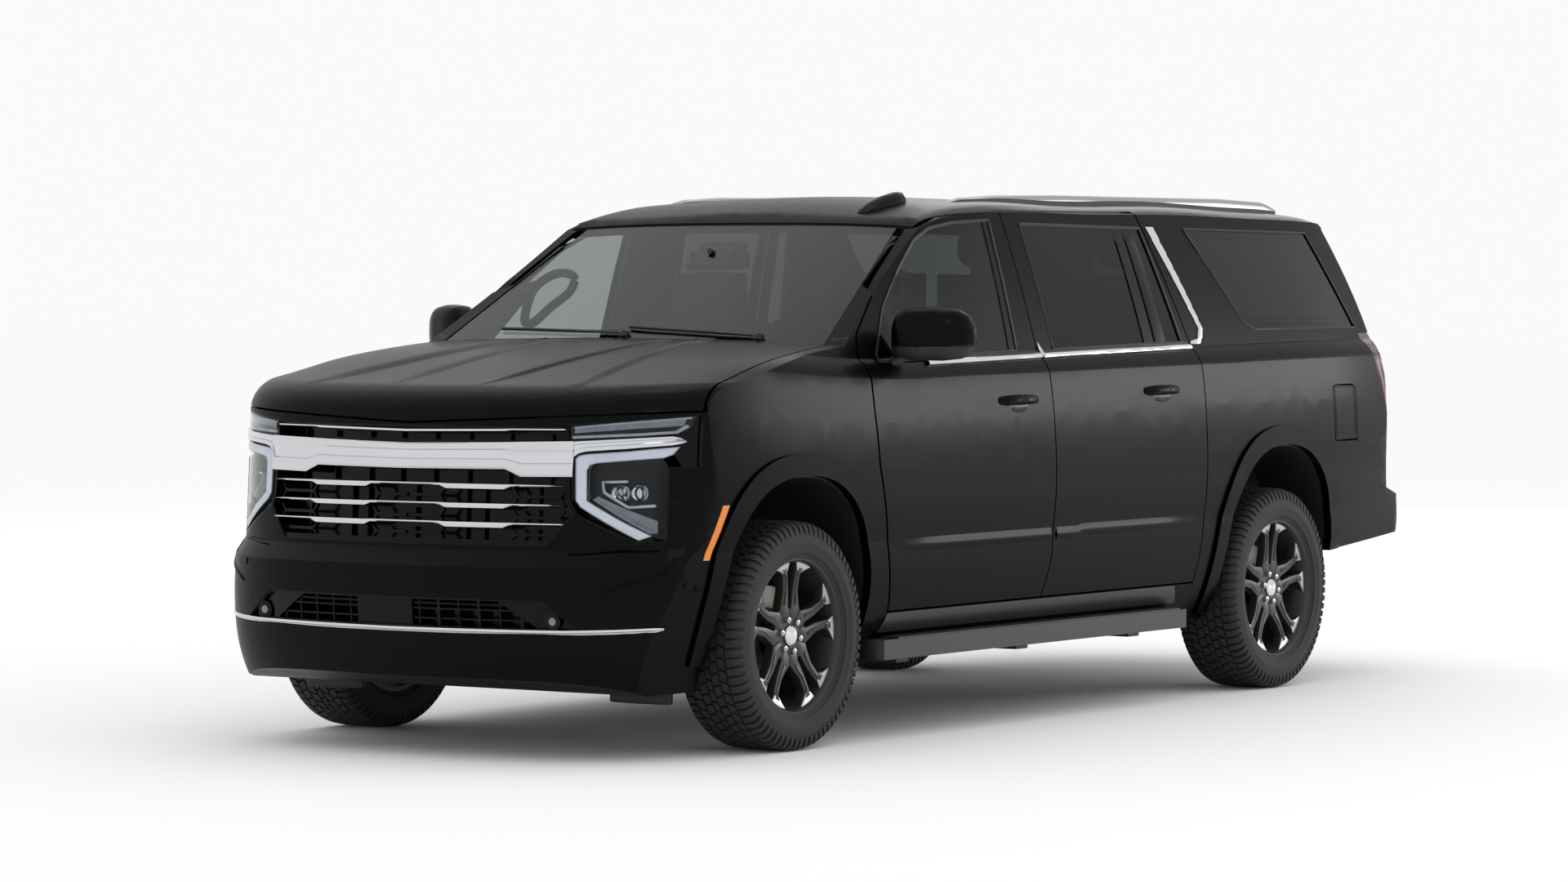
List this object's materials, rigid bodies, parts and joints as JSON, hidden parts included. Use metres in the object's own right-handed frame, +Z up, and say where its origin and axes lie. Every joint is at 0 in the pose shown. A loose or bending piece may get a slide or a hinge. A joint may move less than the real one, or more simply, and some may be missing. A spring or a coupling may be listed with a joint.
{
  "type": "sport utility vehicle",
  "caption": "Full-size long-wheelbase sport utility vehicle with hinged doors, hood, liftgate and fuel lid, steered front wheels, turning wheels and a cabin with three seat rows.",
  "frame": {"origin": "on the ground, midway along the vehicle's length and on its centre plane", "axes": "+X forward, +Y to the vehicle's left, +Z up"},
  "size_m": [5.7377, 2.411, 1.9362],
  "materials": {
    "paint": "gloss",
    "bright": "polished",
    "black_trim": "satin",
    "lens": "clear",
    "red_lens": "gloss",
    "window": "tinted",
    "frame_paint": "satin",
    "cast": "rough",
    "alloy": "satin",
    "tread": "matte",
    "rail_satin": "satin",
    "cushion": "satin",
    "interior": "matte"
  },
  "bodies": {
    "body": {"front_fenders": "paint", "front_bumper": "paint", "headlamps": "lens", "grille": "black_trim", "body_sides": "paint", "arch_lips": "paint", "roof_panel": "paint", "windshield": "window", "quarter_glass": "window", "rear_bumper": "paint", "tail_lamps": "red_lens", "chassis_frame": "frame_paint", "front_suspension": "cast", "hitch_receiver": "frame_paint", "gate_header": "frame_paint", "rear_axle": "cast", "arch_liners": "black_trim", "floor_pan": "frame_paint", "cowl_panel": "black_trim", "roof_rails": "rail_satin", "running_boards": "black_trim", "engine_block": "cast", "front_seats": "cushion", "rear_seats": "cushion", "dashboard": "interior", "steering_wheel": "interior"},
    "hood": {"hood": "paint"},
    "front_left_door": {"front_left_door": "paint", "front_left_glass": "window", "left_mirror": "paint"},
    "front_right_door": {"front_right_door": "paint", "front_right_glass": "window", "right_mirror": "paint"},
    "rear_left_door": {"rear_left_door": "paint", "rear_left_glass": "window"},
    "rear_right_door": {"rear_right_door": "paint", "rear_right_glass": "window"},
    "liftgate": {"liftgate": "paint", "liftgate_glass": "window"},
    "fuel_lid": {"fuel_lid": "paint"},
    "front_left_knuckle": {"front_left_knuckle": "cast"},
    "front_right_knuckle": {"front_right_knuckle": "cast"},
    "front_left_wheel": {"front_left_wheel": "alloy", "front_left_tyre": "tread"},
    "front_right_wheel": {"front_right_wheel": "alloy", "front_right_tyre": "tread"},
    "rear_left_wheel": {"rear_left_wheel": "alloy", "rear_left_tyre": "tread"},
    "rear_right_wheel": {"rear_right_wheel": "alloy", "rear_right_tyre": "tread"}
  },
  "joints": [
    {"name": "hood_hinge", "type": "hinge", "parent": "body", "child": "hood", "pos_m": [1.52299, 0, 1.404], "axis": [0, -1, 0], "range_deg": [0, 50]},
    {"name": "front_left_door_hinge", "type": "hinge", "parent": "body", "child": "front_left_door", "pos_m": [1.4785, 1.002, 0.9], "axis": [0, 0, -1], "range_deg": [0, 68]},
    {"name": "rear_left_door_hinge", "type": "hinge", "parent": "body", "child": "rear_left_door", "pos_m": [0.2735, 1.002, 0.9], "axis": [0, 0, -1], "range_deg": [0, 70]},
    {"name": "front_right_door_hinge", "type": "hinge", "parent": "body", "child": "front_right_door", "pos_m": [1.4785, -1.002, 0.9], "axis": [0, 0, 1], "range_deg": [0, 68]},
    {"name": "rear_right_door_hinge", "type": "hinge", "parent": "body", "child": "rear_right_door", "pos_m": [0.2735, -1.002, 0.9], "axis": [0, 0, 1], "range_deg": [0, 70]},
    {"name": "liftgate_hinge", "type": "hinge", "parent": "body", "child": "liftgate", "pos_m": [-2.15545, 0, 1.885], "axis": [0, 1, 0], "range_deg": [0, 85]},
    {"name": "fuel_lid_hinge", "type": "hinge", "parent": "body", "child": "fuel_lid", "pos_m": [-1.9839, 1.003, 1.0752], "axis": [0, 0, -1], "range_deg": [0, 100]},
    {"name": "front_left_steer", "type": "hinge", "parent": "body", "child": "front_left_knuckle", "pos_m": [1.878, 0.83, 0.395], "axis": [0, 0, 1], "range_deg": [-36, 36]},
    {"name": "front_right_steer", "type": "hinge", "parent": "body", "child": "front_right_knuckle", "pos_m": [1.878, -0.83, 0.395], "axis": [0, 0, 1], "range_deg": [-36, 36]},
    {"name": "front_left_wheel_spin", "type": "hinge", "parent": "front_left_knuckle", "child": "front_left_wheel", "pos_m": [1.878, 0.87, 0.395], "axis": [0, 1, 0], "continuous": true},
    {"name": "front_right_wheel_spin", "type": "hinge", "parent": "front_right_knuckle", "child": "front_right_wheel", "pos_m": [1.878, -0.87, 0.395], "axis": [0, 1, 0], "continuous": true},
    {"name": "rear_left_wheel_spin", "type": "hinge", "parent": "body", "child": "rear_left_wheel", "pos_m": [-1.529, 0.87, 0.395], "axis": [0, 1, 0], "continuous": true},
    {"name": "rear_right_wheel_spin", "type": "hinge", "parent": "body", "child": "rear_right_wheel", "pos_m": [-1.529, -0.87, 0.395], "axis": [0, 1, 0], "continuous": true}
  ],
  "couplings": [
    {"joint": "front_right_steer", "follows": "front_left_steer", "ratio": 1}
  ]
}
